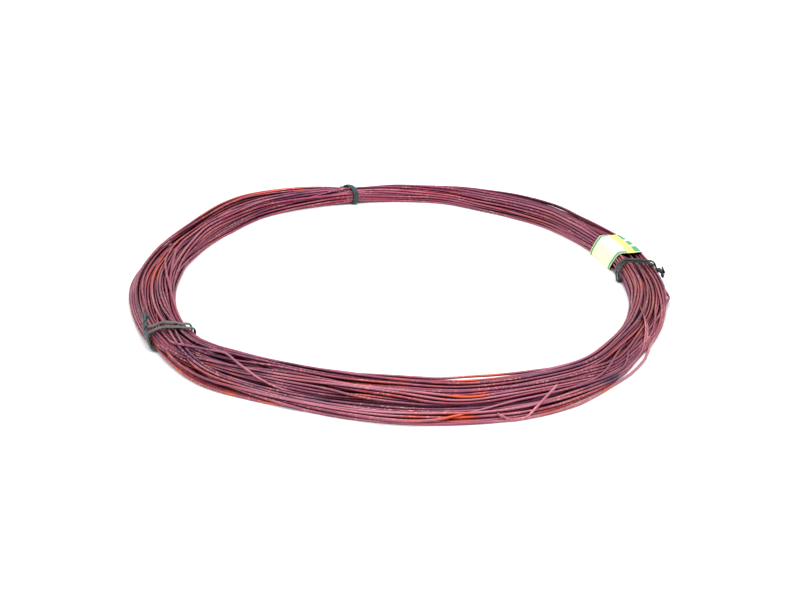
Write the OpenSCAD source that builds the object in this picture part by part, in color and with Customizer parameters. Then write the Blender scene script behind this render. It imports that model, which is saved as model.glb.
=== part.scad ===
// Hand-tied coil of bare annealed copper wire, lying flat.
// The turns are one turned solid with a bore: they show as ridges on its two
// ends and round its outer flank, and the bore wall is plain. Three coated tie
// wires sit in necks that they squeeze into the bundle, and a paper label band
// sits in a shallow seat. +Z is up, and the origin is the centre of the bore on
// the plane that the coil lies on. Sizes are in millimetres, angles in degrees
// from +X, counter-clockwise seen from above.

/* [Wire] */
// Diameter of the copper wire
wire_d = 1.5; // [1:0.1:2.5]
// Distance between neighbouring turns, under the diameter so that they nest
turn_pitch = 1.4; // [0.9:0.05:2.4]
// How far the lowest turns are pressed flat where they bear on the floor
bearing_flat = 0.05; // [0.02:0.01:0.1]

/* [Coil] */
// Diameter of the open centre
bore_d = 278; // [200:1:400]
// Width of the bundle of turns, from the bore to the outside
bundle_w = 30; // [24:0.5:45]
// Height of the bundle of turns
bundle_h = 9.6; // [8.4:0.2:14]
// Rounding of the bundle's two edges at the bore
bore_edge_r = 2.6; // [2:0.1:3.2]

/* [Ties] */
// Diameter of the coated tie wire
tie_d = 2.2; // [1:0.1:2.6]
// Clearance between a tie and the turns it holds
tie_gap = 0.3; // [0.1:0.05:0.6]
// Bend of a tie round the corners of the bundle, to the middle of the wire
tie_bend_r = 1.7; // [1.4:0.1:1.9]
// Radius of the necks that the ties squeeze into the bundle
neck_r = 45; // [30:1:80]
// Places of the ties round the coil: left, back and right
tie_at = [208, 102.5, 7]; // [0:0.5:360]
// Lengths of the twisted tails, in the same order
tail_len = [7, 5, 5]; // [3:0.5:14]
// Lean of the tails, up from level
tail_lean = 76; // [60:1:85]
// Length of a tail in one full twist
twist_len = 8; // [6:0.5:12]

/* [Label] */
// Thickness of the paper, two layers stuck together
label_t = 0.4; // [0.3:0.05:0.8]
// Length of the label along the bundle
label_len = 28; // [15:1:34]
// Place of the label's middle round the coil
label_at = 19; // [19:0.5:80]
// Clearance between the label and the turns it wraps
label_gap = 0.3; // [0.1:0.05:0.5]

/* [Hidden] */
$fn = 48;
// Sides of the turned shapes, all the way round the coil
ring_sides = 180;

wire_r = wire_d / 2;
tie_r = tie_d / 2;
bore_r = bore_d / 2;
outer_r = bore_r + bundle_w;
middle_r = bore_r + bundle_w / 2;

// Section of the bundle: the middles of the turns that show, in order round it.
// Each row starts where the one before it ends.
row_z = [wire_r - bearing_flat, bundle_h - wire_r];
flank_r = (row_z[1] - row_z[0]) / 2;
row_x = [bore_r + bore_edge_r, outer_r - wire_r - flank_r];
row_steps = round((row_x[1] - row_x[0]) / turn_pitch);
row_step = (row_x[1] - row_x[0]) / row_steps;
// An even number, so that one turn stands at the bundle's widest
flank_steps = 2 * round(PI * flank_r / turn_pitch / 2);
// The turns at the bore's edges stand this far back, so that the plain wall is the bore
edge_back = 0.1;
edge_r = bore_edge_r - wire_r - edge_back;
edge_steps = max(1, round(PI / 2 * edge_r / turn_pitch));

function on_arc(middle, r, a) = [middle[0] + r * cos(a), middle[1] + r * sin(a)];
function arc_turns(middle, r, a0, a1, steps) =
    [for (i = [0 : steps]) on_arc(middle, r, a0 + (a1 - a0) * i / steps)];

floor_turns = [for (i = [0 : row_steps]) [row_x[0] + row_step * i, row_z[0]]];
flank_turns = arc_turns([row_x[1], row_z[0] + flank_r], flank_r, -90, 90, flank_steps);
top_turns = [for (i = [0 : row_steps]) [row_x[1] - row_step * i, row_z[1]]];
top_edge_turns = arc_turns([row_x[0], row_z[1] - edge_r], edge_r, 90, 180, edge_steps);
floor_edge_turns = arc_turns([row_x[0], row_z[0] + edge_r], edge_r, 180, 270, edge_steps);
bore_wall = [[bore_r, row_z[1] - edge_r], [bore_r, row_z[0] + edge_r]];

module bundle_section() {
    intersection() {
        union() {
            polygon(concat(floor_turns, flank_turns, top_turns, top_edge_turns,
                           bore_wall, floor_edge_turns));
            for (turn = concat(floor_turns, flank_turns, top_turns, top_edge_turns,
                               floor_edge_turns))
                translate(turn) circle(r = wire_r);
        }
        square([2 * outer_r, 2 * bundle_h]);
    }
}

// A tie lies flush in its neck: the neck is as deep as the wire and its clearance.
neck_depth = tie_d + 1.5 * tie_gap;
neck_z = tie_d + tie_gap;

// What one tie squeezes away: the bundle's two sides and its underside.
module neck() {
    for (x = [bore_r - neck_r + neck_depth, outer_r + neck_r - neck_depth])
        translate([x, 0, -1]) cylinder(r = neck_r, h = bundle_h + 2);
    translate([bore_r - bundle_w, 0, neck_z - neck_r])
        rotate([0, 90, 0]) cylinder(r = neck_r, h = 3 * bundle_w);
}

// Rounded rectangle from corner to corner, as a list of points
label_corner_r = 3;
corner_steps = 5;
function rounded_box(low, high, r) =
    [for (c = [[high[0] - r, high[1] - r, 0], [low[0] + r, high[1] - r, 90],
               [low[0] + r, low[1] + r, 180], [high[0] - r, low[1] + r, 270]])
        each arc_turns([c[0], c[1]], r, c[2], c[2] + 90, corner_steps)];

// Outline of the bundle at the label, brought in by some distance all round
module label_outline(inset) {
    polygon(rounded_box([bore_r + inset, inset], [outer_r - inset, bundle_h - inset],
                        label_corner_r - inset));
}

label_rim = 0.1;
label_in = label_rim + label_t;
seat_in = label_in + label_gap;
function arc_angle(length) = length / middle_r * 180 / PI;

module label_seat() {
    seat_angle = arc_angle(label_len + 2 * label_gap);
    rotate(label_at - seat_angle / 2)
        rotate_extrude(angle = seat_angle, $fn = ring_sides) difference() {
            translate([bore_r - bundle_w / 2, -1]) square([2 * bundle_w, bundle_h + 2]);
            label_outline(seat_in);
        }
}

module wire_coil() {
    color("#9c5f58") difference() {
        rotate_extrude($fn = ring_sides) bundle_section();
        for (a = tie_at) rotate(a) neck();
        label_seat();
    }
}

// A tie is one wire: it comes down its tail, goes twice round the bundle and
// climbs back, twisted with itself. Its middle line is worked out in the plane
// across the bundle, [outward, along the coil, up], with the bundle's middle at
// outward = 0.
tie_sides = 8;
bend_steps = 4;
// Clearances between the strands where they lie side by side and where they twist
strand_gap = 0.25;
twist_gap = 0.1;
loop_half_w = bundle_w / 2 - neck_depth + tie_gap + tie_r;
loop_z = [tie_r, bundle_h + tie_gap + tie_r];
loop_step = tie_d + strand_gap;
twist_r = tie_r + twist_gap;

// Corners of the loop, each with the angle at which its bend starts
loop_corners = [
    [loop_half_w - tie_bend_r, loop_z[1] - tie_bend_r, 0],
    [-loop_half_w + tie_bend_r, loop_z[1] - tie_bend_r, 90],
    [-loop_half_w + tie_bend_r, loop_z[0] + tie_bend_r, 180],
    [loop_half_w - tie_bend_r, loop_z[0] + tie_bend_r, 270],
];
loop_flat = [for (c = loop_corners)
    each arc_turns([c[0], c[1]], tie_bend_r, c[2], c[2] + 90, bend_steps)];
loop_count = len(loop_flat);

// The two loops, from past the outer top corner round to just below it
loops = [for (i = [bend_steps : 2 * loop_count - 1])
    let (p = loop_flat[i % loop_count], turned = i / loop_count - 1)
    [p[0], loop_step * turned, p[1]]];

// The tail stands over the outer top corner and leans outward. Its two strands
// come up on opposite sides of the strand that crosses there, and turn round
// the tail's middle line.
tail_in = 0.4 * tie_r;
tail_foot = [loop_half_w - tail_in, 0, loop_z[1] + tie_d];
tail_way = [cos(tail_lean), 0, sin(tail_lean)];
tail_across = [-sin(tail_lean), 0, cos(tail_lean)];
tail_side = [0, 1, 0];
ring_gap = 0.6;
function strand(length, side) =
    [for (h = [0 : ring_gap : length])
        let (a = 360 * h / twist_len)
        tail_foot + tail_way * h + side * twist_r * (tail_side * cos(a) + tail_across * sin(a))];
function reversed(list) = [for (i = [len(list) - 1 : -1 : 0]) list[i]];
// Where each strand leaves the loops for the tail: the one that comes down draws
// in a little towards the tail, and the one that climbs stays at the flank.
knot_z = loop_z[1] + 0.9 * tie_r;
coming_down = [loop_half_w - 0.9 * tie_r, -0.88 * loop_step, knot_z];
going_up = [[loop_half_w, loop_step, loop_z[1] - 0.8 * tie_r],
            [loop_half_w - 0.1 * tie_r, 0.96 * loop_step, knot_z]];
function tie_line(length) =
    concat(reversed(strand(length, -1)), [coming_down], loops, going_up, strand(length, 1));

// A round wire swept along a line of points, with closed ends
function unit(v) = v / norm(v);
function heading(line, i) =
    unit(line[min(i + 1, len(line) - 1)] - line[max(i - 1, 0)]);
// Sideways direction at each point, carried along so that the wire does not twist
function carried(line, i = 0, before = [0, 1, 0], out = []) = i == len(line) ? out :
    let (h = heading(line, i), side = unit(before - h * (before * h)))
    carried(line, i + 1, side, concat(out, [side]));
function ring_points(line, r, sides) =
    let (across = carried(line))
    [for (i = [0 : len(line) - 1])
        let (h = heading(line, i), up = cross(h, across[i]))
        for (k = [0 : sides - 1])
            let (a = 360 * k / sides)
            line[i] + r * (across[i] * cos(a) + up * sin(a))];

module swept_wire(line, d, sides) {
    n = len(line);
    polyhedron(
        points = ring_points(line, d / 2, sides),
        faces = concat(
            [[for (k = [0 : sides - 1]) k]],
            [[for (k = [sides - 1 : -1 : 0]) (n - 1) * sides + k]],
            [for (i = [0 : n - 2], k = [0 : sides - 1])
                let (a = i * sides + k, b = i * sides + (k + 1) % sides)
                [a, a + sides, b + sides, b]]),
        convexity = 6);
}

module tie(i) {
    color("#26403a") rotate(tie_at[i]) translate([middle_r, 0, 0])
        swept_wire(tie_line(tail_len[i]), tie_d, tie_sides);
}

module label_band() {
    angle = arc_angle(label_len);
    color("#e6e6e0") rotate(label_at - angle / 2)
        rotate_extrude(angle = angle, $fn = ring_sides) difference() {
            label_outline(label_rim);
            label_outline(label_in);
        }
}

wire_coil();
tie(0);  // tie_left
tie(1);  // tie_back
tie(2);  // tie_right
label_band();
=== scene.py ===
# %% [markdown]
# # A hand-tied coil of bare copper wire
# The object is one kilogram of annealed copper wire: about 67 loose turns, held by
# three coated wire ties, with a paper label round the bundle. The CAD model gives
# the frame: a turned ring of the right size, with its ties and label. This lesson
# puts in its place what the eye expects, which is one long wire, turn upon turn.

# %% Load the frame
import math

import bpy
import numpy as np
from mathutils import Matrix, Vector
from mathutils.geometry import convex_hull_2d


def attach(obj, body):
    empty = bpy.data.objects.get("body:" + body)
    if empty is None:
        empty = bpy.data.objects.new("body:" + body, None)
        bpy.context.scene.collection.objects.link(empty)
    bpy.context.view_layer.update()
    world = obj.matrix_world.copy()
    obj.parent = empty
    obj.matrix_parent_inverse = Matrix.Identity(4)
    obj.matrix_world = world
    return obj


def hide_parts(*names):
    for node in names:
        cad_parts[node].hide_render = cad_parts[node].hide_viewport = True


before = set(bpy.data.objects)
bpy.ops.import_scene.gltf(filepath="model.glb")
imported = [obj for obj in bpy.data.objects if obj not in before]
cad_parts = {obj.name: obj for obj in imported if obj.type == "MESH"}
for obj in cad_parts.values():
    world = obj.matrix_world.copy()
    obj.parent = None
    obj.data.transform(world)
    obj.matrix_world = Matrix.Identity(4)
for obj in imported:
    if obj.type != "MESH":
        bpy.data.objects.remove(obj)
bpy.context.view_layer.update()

MM = 0.001

# %% [markdown]
# ## Camera
# The camera looks down on the coil from 25 degrees above the floor and a bit over
# 80 cm away, through a short telephoto lens, as for a catalogue picture. It comes
# first, so that even a first rough render is framed as the last one will be.

# %% Camera
def add_camera(aim_mm, distance_mm, elevation, lens):
    data = bpy.data.cameras.new("catalogue_camera")
    data.lens = lens
    camera = bpy.data.objects.new("catalogue_camera", data)
    bpy.context.scene.collection.objects.link(camera)
    tilt = math.radians(elevation)
    back = Vector((0, -math.cos(tilt), math.sin(tilt)))
    camera.location = (Vector(aim_mm) + back * distance_mm) * MM
    camera.rotation_euler = (-back).to_track_quat("-Z", "Y").to_euler()
    bpy.context.scene.camera = camera
    return camera


camera = add_camera(aim_mm=(0.9, -23.3, 0), distance_mm=820, elevation=25.5, lens=60.3)
bpy.context.scene.view_settings.view_transform = "Standard"
print("Camera at", [round(v, 3) for v in camera.location])

# %% [markdown]
# ## How the turns lie
# A coil like this is one wire, wound over a drum and slipped off. Every turn finds
# its own way through the bundle, so no two of them are alike. Rings drawn side by
# side look like a grooved disc. A physics solver could drop a real wire, but 65 m
# of it is slow. So the turns are laid by a small relaxation of our own: each point
# of the wire has a distance from the middle and a height, which wander slowly at
# first. Then turns that overlap push each other away, the wire straightens as a
# stiff wire does, and everything sinks until it lies.

# %% Sizes of the bundle
# Wire thickness in mm, and how many turns there are
WIRE = 1.5
TURNS = 67
# Points on each turn, and the angle at which the first turn starts
STATIONS = 240
START = -70.0
# Turns at the end of the wire that have slipped off the bundle
FAN_TURNS = 13

# Angle round the coil, bore side and outer side of the bundle in mm, and how far
# apart the turns lie there, in wire diameters
BUNDLE = [
    (-180, 137.5, 168, 1.3), (-165, 136.3, 165.3, 1.25), (-152, 138, 163.5, 1.1),
    (-143, 140.3, 160.5, 1.15), (-130, 130, 156, 1.22), (-120, 122.8, 151, 1.25),
    (-105, 119.3, 149.3, 1.25), (-90, 124, 151, 1.25), (-75, 134.5, 156.3, 1.25),
    (-60, 137.5, 163.5, 1.2), (-45, 145.4, 166.8, 1.13), (-35, 145, 164.6, 1.12),
    (-26, 144.5, 165, 1.12), (-15, 143.2, 165, 1.12), (-5, 142.2, 165.5, 1.12), (7, 141, 164, 1.1),
    (19, 140.5, 164.5, 1.12), (30, 141, 159, 1.2), (37, 141.8, 157.5, 1.25), (45, 143, 165, 1.25),
    (52, 143, 170, 1.25), (60, 134.8, 181.5, 1.2), (67, 137, 180.5, 1.12), (75, 149, 173.5, 1.06),
    (90, 150.5, 173, 1.03), (102, 151.5, 169, 1.02), (110, 147.3, 182.3, 1.1),
    (120, 139.7, 198, 1.25), (128, 138.3, 200.5, 1.35), (135, 143, 188, 1.35),
    (142, 147, 173.5, 1.3), (150, 145, 167, 1.3), (165, 141.5, 167.8, 1.3),
]
# The last turns have slipped off and fan out on the floor: their two sides, and their height
FAN = [
    (-180, 142, 168, 12), (-165, 143.5, 165.3, 12), (-152, 146.5, 163.8, 12), (-143, 149, 167.3, 9),
    (-130, 151, 170.7, 6), (-120, 151.3, 164, 4.5), (-107, 150.5, 161, 3.4), (-90, 153, 167, 3.6),
    (-75, 157.8, 172.3, 4), (-60, 161, 174.5, 5), (-52, 161.5, 171.5, 4.5), (-43, 158, 168.6, 5.5),
    (-35, 154.5, 165, 7.5), (-26, 150.5, 164.8, 10),
]
# Past this angle they are back in the bundle, and its height is no limit
FAN_ENDS = -20
FREE_HEIGHT = 14
FAN_BUNDLE = sorted([(*p[:3], FREE_HEIGHT) for p in BUNDLE if p[0] > FAN_ENDS] + FAN)
print(len(BUNDLE), "places give the bundle's sides, and", len(FAN), "the fan's")

# %% Values round the coil
def degrees_from(middle, angles):
    """How far each angle lies from a middle one, between -180 and 180."""
    return (np.asarray(angles) - middle + 180) % 360 - 180


def round_the_coil(points, angles, column):
    """A smooth curve through one column of a table, which closes on itself."""
    at = np.array([p[0] for p in points], float)
    value = np.array([p[column] for p in points], float)
    at = np.concatenate([at - 360, at, at + 360])
    value = np.tile(value, 3)
    slope = np.gradient(value, at)
    x = degrees_from(0, angles)
    i = np.clip(np.searchsorted(at, x, side="right") - 1, 0, len(at) - 2)
    h = at[i + 1] - at[i]
    t = (x - at[i]) / h
    return (
        (2 * t**3 - 3 * t**2 + 1) * value[i] + (t**3 - 2 * t**2 + t) * h * slope[i]
        + (3 * t**2 - 2 * t**3) * value[i + 1] + (t**3 - t**2) * h * slope[i + 1]
    )


# The first half turn belongs to pass 0 at the front, and the last one to pass TURNS
angles = START + 360 * np.arange(STATIONS) / STATIONS
passes = np.floor(np.arange(TURNS * STATIONS) / STATIONS + 0.5).reshape(TURNS, STATIONS)
in_fan = passes > TURNS - FAN_TURNS
bore_side, outer_side = (
    np.where(in_fan, round_the_coil(FAN_BUNDLE, angles, k), round_the_coil(BUNDLE, angles, k))
    for k in (1, 2)
)
middle = (bore_side + outer_side) / 2
half_width = (outer_side - bore_side - WIRE) / 2
spacing = WIRE * round_the_coil(BUNDLE, angles, 3)
print("Bundle", round(float(2 * half_width.min() + WIRE), 1), "mm wide at its narrowest")

# %% [markdown]
# ## Places that the turns must keep
# Loose turns touch only here and there, so on average they lie a little apart. At
# each tie they are drawn together, and they lie on the tie's wire, a little above
# the floor. And a few stretches of wire stand out from the rest, such as one that
# crosses over the bundle at the front. Those are guided through a few given points.

# %% What lies under the bundle
# Middle and half the width in degrees of what lies under the bundle, and its thickness
UNDER = [(-148.5, 4, 1.5), (102.5, 3, 1.5), (3.5, 4, 1.5), (18.4, 6.5, 0.5)]
floor_under = np.full(STATIONS, WIRE / 2)
for under_angle, half_angle, thickness in UNDER:
    off = degrees_from(under_angle, angles)
    floor_under = np.maximum(floor_under, WIRE / 2 + thickness * np.exp(-((off / half_angle) ** 6)))
print("Turns lie up to", round(float(floor_under.max() - WIRE / 2), 1), "mm off the floor on the ties")

# %% Guided stretches
# How many turns in from the wire's start, then angle, radius and height of each point
GUIDED = [
    # The wire's first turn, which has strayed from the others at the front right
    (0, [
        (-90, 173, 0.8), (-70, 173.3, 0.8), (-63, 174.6, 0.8), (-56.7, 174.6, 0.8),
        (-51.4, 172.6, 0.8), (-47, 171.2, 0.8), (-42, 170.7, 0.8), (-37, 169.2, 0.8),
        (-34, 168.1, 0.8), (-32, 166.6, 1), (-29, 164.9, 1.8), (-22, 164, 3),
    ]),
    # Its last turn, up to the cut end
    (67, [
        (-110, 159.5, 0.8), (-95, 164, 0.8), (-85, 167.5, 0.8), (-78, 169.8, 0.8), (-72, 172, 0.8),
        (-67, 174, 0.8), (-50, 178, 0.8),
    ]),
    # One that crosses over the bundle by the left tie
    (38, [
        (-175, 147, 6), (-165, 149.5, 6.5), (-158, 152.5, 7.5), (-152, 155.5, 8.5),
        (-144, 157, 9.5), (-139.5, 151.5, 10.5), (-133, 144.5, 11), (-131, 143.5, 11),
        (-125.5, 147.5, 10), (-121, 150, 9), (-115, 151, 8),
    ]),
    # The innermost one at the front, a little clear of the rest
    (20, [
        (-84, 132.5, 8), (-79, 134, 8.5), (-75.5, 135.3, 8.8), (-72, 136.5, 8.8), (-67, 139, 8.4),
    ]),
    # One that runs over the top on the left
    (31, [
        (-195, 152.5, 10), (-190.5, 151.5, 10.5), (-187, 149.5, 11), (-182, 146, 11),
        (-176, 142.5, 11), (-170, 140.5, 11), (-164.5, 140, 10.5), (-158.5, 140.5, 9.5),
        (-151, 141.5, 8.5), (-143, 140.8, 8), (-136, 135.8, 8),
    ]),
    # One with a kink, by the cut ends
    (61, [
        (-90, 167, 2.2), (-83, 167.2, 2.8), (-79.6, 165.6, 3.4), (-77, 164.2, 3.5),
        (-74.9, 163.4, 3.7), (-70.9, 161.5, 4), (-66.4, 161.3, 4.6), (-63.2, 162.8, 5),
        (-58.3, 164.2, 5.3), (-50, 166, 5.3),
    ]),
    # One that makes a small loop outward at the right
    (24, [
        (-22, 161, 6), (-14, 163, 5), (-11.3, 164.2, 4.3), (-9.3, 165.8, 4), (-7, 167, 4),
        (-5, 166.3, 4), (-3, 164.9, 4.3), (4, 161.5, 5),
    ]),
    # One on the floor, in the opening under the front
    (13, [
        (-110, 147, 0.8), (-98, 148.5, 0.8), (-90, 150.3, 0.8), (-84, 151.8, 0.8),
        (-77, 153.5, 0.8), (-70, 154.5, 0.8),
    ]),
]
# Points of the wire over which a guided stretch takes hold at each end
EASE = 6


def guided_points():
    """Each stretch's points on the wire, their radius and height, and how firmly they hold."""
    for front_pass, points in GUIDED:
        at = [p[0] for p in points]
        first, last = ((front_pass * 360 + a - START) * STATIONS / 360 for a in (at[0], at[-1]))
        index = np.arange(max(math.ceil(first), 0), min(int(last), TURNS * STATIONS - 1) + 1)
        angle = START + (index * 360 / STATIONS) - front_pass * 360
        radius, height = (np.interp(angle, at, [p[k] for p in points]) for k in (1, 2))
        firmness = np.clip(np.minimum(index - first, last - index) / EASE, 0, 1)
        yield index, radius, height, firmness


print(len(GUIDED), "stretches guided by hand")

# %% Wandering and stiffness
def wander(count, step, seed):
    """Slow random drift, about 1 in size: a smooth curve with one random value every few points."""
    knots = 1.45 * np.random.default_rng(seed).normal(size=int(count / step) + 5)
    x = np.arange(count) / step
    i = x.astype(int)
    t = x - i
    a, b, c, d = (knots[i + k] for k in range(4))
    return (
        (1 - t) ** 3 * a + (3 * t**3 - 6 * t**2 + 4) * b
        + (-3 * t**3 + 3 * t**2 + 3 * t + 1) * c + t**3 * d
    ) / 6


def evened(values):
    """Spreads random values evenly over -1 to 1, with a few more at the ends."""
    return np.clip(1.14 * np.tanh(0.8 * values), -1, 1)


def straightened(line, stiffness):
    """The line as a stiff wire takes it: sharp bends even out, and its ends are free."""
    both = np.concatenate([line, line[::-1]])
    bend = (2 - 2 * np.cos(np.pi * np.arange(len(line) + 1) / len(line))) ** 2
    return np.fft.irfft(np.fft.rfft(both) / (1 + stiffness * bend), len(both))[: len(line)]


print("Drift spreads by", round(float(wander(TURNS * STATIONS, STATIONS, 0).std()), 2))

# %% [markdown]
# Turns in contact must not share the same space. At every station round the coil,
# each pair of turns that lies too close is pushed apart, half of the way each. A turn
# with many neighbours gives way a little less to each of them, or it would jump.

# %% Contact
# Squared distance that stands for a turn's own place, so that it isn't pushed by itself
FAR = 100


def push_apart(x, z, looseness):
    """Moves turns away from each other where they are too close. Some lie tight, some loose."""
    gap = WIRE + (spacing - WIRE)[:, None, None] * (looseness.T[:, :, None] + looseness.T[:, None, :])
    dx = x.T[:, :, None] - x.T[:, None, :]
    dz = z.T[:, :, None] - z.T[:, None, :]
    square = dx * dx + dz * dz
    square[:, np.eye(len(x), dtype=bool)] = FAR
    near = square < gap * gap
    apart = np.sqrt(np.maximum(square, 1e-4))
    push = np.where(near, (gap - apart) / apart * 0.5, 0)
    share = np.maximum(near.sum(2), 1) ** 0.7
    x += ((dx * push).sum(2) / share).T
    z += ((dz * push).sum(2) / share).T


# %% [markdown]
# The heap isn't the same all round. Tables say how its top is shaped: a low hump, a
# slope at the back where it has slumped outward, and at the front a flank that comes
# down to the turns that have slipped off. Each is a limit that the turns are eased
# down to, so they still settle among themselves.

# %% Shape of the heap
# A height in mm that no turn reaches, for places without a limit
NO_LIMIT = 25
# Angle round the coil, and the height at which the bundle's two sides would meet
HUMP = [(-180, 13), (45, 13), (60, 11), (75, 9.5), (90, 9), (102, 10.5), (112, 12.5), (125, 13)]
# Where the bundle has slumped outward at the back, the height of its slope at its middle,
# and how steep the slope is
SLOPE = [
    (-180, NO_LIMIT), (60, NO_LIMIT), (68, 16), (75, 11.4), (82, 10), (90, 9.1), (96, 8.9),
    (102, 9), (108, 13), (118, NO_LIMIT),
]
BACK_STEEPNESS = 0.48
# Where it slopes down to its outer side at the front, the height at that side and how
# steep the slope is
FLANK = [
    (-170, 14, 0.9), (-150, 6, 0.9), (-135, 4, 0.9), (-120, 3, 0.9), (-64, 3, 0.9), (-53, 2, 0.7),
    (-43, 1, 0.7), (-34, 0.7, 0.8), (-24, 2, 0.85), (-12, 5, 0.9), (0, 8, 0.9), (15, 14, 0.9),
]
# Where the front of the bundle stands open underneath: how deep in mm, at which angle,
# over how many degrees to each side, and up to which height
UNDERCUT_DEPTH = 3
UNDERCUT_AT = -97
UNDERCUT_HALF = 28
UNDERCUT_TOP = 3.4
hump = round_the_coil(HUMP, angles, 1)
slope = round_the_coil(SLOPE, angles, 1)
flank, steepness = (round_the_coil(FLANK, angles, k) for k in (1, 2))
fan_top = np.where(in_fan, round_the_coil(FAN_BUNDLE, angles, 3), NO_LIMIT)
undercut = UNDERCUT_DEPTH * np.exp(-((degrees_from(UNDERCUT_AT, angles) / UNDERCUT_HALF) ** 4))
undercut = np.where(in_fan, 0, undercut)
print("The hump is lowest at", round(float(hump.min()), 1), "mm")

# %% Lay the turns
# Turns of the coil over which the wire drifts sideways and upwards, and over which its
# small tremor and its looseness change
SIDEWAYS_DRIFT = 1.6
UPWARD_DRIFT = 1.4
TREMOR = 0.2
LOOSENESS_DRIFT = 0.4
# How far turns sink in one round, in mm: while the bundle settles, and at the end
SINK = 0.015
LAST_SINK = 0.003
STIFFNESS = 100
# Share of the rounds in which the bundle settles, before the wire slowly slackens
SETTLING = 0.75
# Share of the way that a turn goes in one round: back to the line that it wandered
# along, in from the bundle's sides, and to any other limit
PULL_BACK = 0.01
SIDE_GIVE = 0.6
GIVE = 0.5
# The turns start at up to twice this height, in mm
LOOSE_HEIGHT = 4
# Turns at the bundle's sides stand off from the next one by this at the most, in mm
SIDE_STEP = 1.1 * WIRE


def lay_turns(rounds, seed):
    """Distance from the middle and height of each point of each turn, in mm."""
    count = TURNS * STATIONS
    sideways = wander(count, STATIONS * SIDEWAYS_DRIFT, seed)
    sideways = sideways + 0.1 * wander(count, STATIONS * TREMOR, seed + 1)
    upwards = wander(count, STATIONS * UPWARD_DRIFT, seed + 2)
    goal = middle + evened(sideways).reshape(TURNS, STATIONS) * half_width
    x = goal.astype(np.float32)
    upwards = LOOSE_HEIGHT * evened(upwards).reshape(TURNS, STATIONS)
    z = (WIRE / 2 + LOOSE_HEIGHT + upwards).astype(np.float32)
    looseness = evened(wander(count, STATIONS * LOOSENESS_DRIFT, seed + 3))
    looseness = (0.5 + 0.5 * looseness.reshape(TURNS, STATIONS)).astype(np.float32)
    guided = list(guided_points())
    settling = int(rounds * SETTLING)
    for k in range(rounds):
        if k < settling:
            z -= SINK
            x += PULL_BACK * (goal - x)
            stiffness = STIFFNESS
        else:
            z -= LAST_SINK
            stiffness = max(1, STIFFNESS * (1 - (k - settling) / (0.5 * (rounds - settling))))
        push_apart(x, z, looseness)
        x[:] = middle + straightened((x - middle).reshape(-1), stiffness).reshape(x.shape)
        z[:] = straightened(z.reshape(-1), stiffness).reshape(x.shape)
        # The bundle is a low hump, so its sides lean in towards its top
        reach = half_width * np.maximum(1 - (z / hump) ** 4, 0.1) ** 0.25
        out_reach = reach - undercut * np.clip((UNDERCUT_TOP - z) / WIRE, 0, 1)
        x += SIDE_GIVE * (np.clip(x, middle - reach, middle + out_reach) - x)
        # A turn at either side leans on the one next to it
        side = np.partition(x, (1, TURNS - 2), axis=0)
        x += GIVE * (np.clip(x, side[1] - SIDE_STEP, side[-2] + SIDE_STEP) - x)
        # It slopes down outward at the back, and at the front to where the last turns lie
        z -= GIVE * np.maximum(z + BACK_STEEPNESS * (x - middle) - slope, 0)
        z -= GIVE * np.maximum(z - np.minimum(fan_top, flank + steepness * (outer_side - x)), 0)
        np.maximum(z, floor_under, out=z)
        for index, radius, height, firmness in guided:
            x.reshape(-1)[index] += firmness * (radius - x.reshape(-1)[index])
            z.reshape(-1)[index] += firmness * (height - z.reshape(-1)[index])
    return x, z


ring_x, ring_z = lay_turns(rounds=500, seed=3)
print("Highest turn at", round(float(ring_z.max()), 1), "mm")

# %% [markdown]
# ## From path to wire
# A wire is a round section swept along its path. Blender's curves can do it with a
# bevel, but the path has 16,000 points and the ring of corners at each of them
# should carry its place along the wire. So the tube is made from arrays: a ring of
# corners at each point, faces between the rings, and a flat face on each end.

# %% Tube maker
def unit(vectors):
    return vectors / np.linalg.norm(vectors, axis=1)[:, None]


def tube_rings(points, facing, section):
    """Corners of a tube along a line of points. A section is rows of outward and sideways."""
    way = unit(np.gradient(points, axis=0))
    out = unit(facing - (facing * way).sum(axis=1)[:, None] * way)
    aside = np.cross(way, out)
    section = np.asarray(section)
    return (
        points[:, None, :] + section[None, :, 0, None] * out[:, None, :]
        + section[None, :, 1, None] * aside[:, None, :]
    )


def round_section(radius, sides):
    turn = 2 * np.pi * np.arange(sides) / sides
    return np.stack([radius * np.cos(turn), radius * np.sin(turn)], axis=1)


# %% Meshes from arrays
def add_mesh(name, vertices, faces, material):
    mesh = bpy.data.meshes.new(name)
    mesh.from_pydata(vertices, [], faces)
    mesh.materials.append(material)
    mesh.shade_smooth()
    mesh.update()
    piece = bpy.data.objects.new(name, mesh)
    bpy.context.scene.collection.objects.link(piece)
    return piece


def add_tube(name, rings, material, strips):
    """A closed tube through rings of corners, its surface laid out in even strips."""
    count, sides = rings.shape[:2]
    first = np.arange(count - 1)[:, None] * sides
    k = np.arange(sides)[None, :]
    after = (k + 1) % sides
    walls = np.stack([first + k, first + after, first + sides + after, first + sides + k], axis=2)
    faces = walls.reshape(-1, 4).tolist()
    faces.append(list(range(sides - 1, -1, -1)))
    faces.append(list(range((count - 1) * sides, count * sides)))
    piece = add_mesh(name, (rings.reshape(-1, 3) * MM).tolist(), faces, material)
    lay_out_strips(piece.data, count, sides, strips)
    return piece


# %% [markdown]
# The finishes here need no UV map, but baking their colours into pictures needs one.
# A wire is far too long and thin for a square map, so it is cut into strips,
# which lie one above the other with a little room between them.

# %% Strips of the UV map
# Room at the map's two sides, and between strips as a share of a strip
SIDE_ROOM = 0.01
STRIP_ROOM = 0.04


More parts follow.
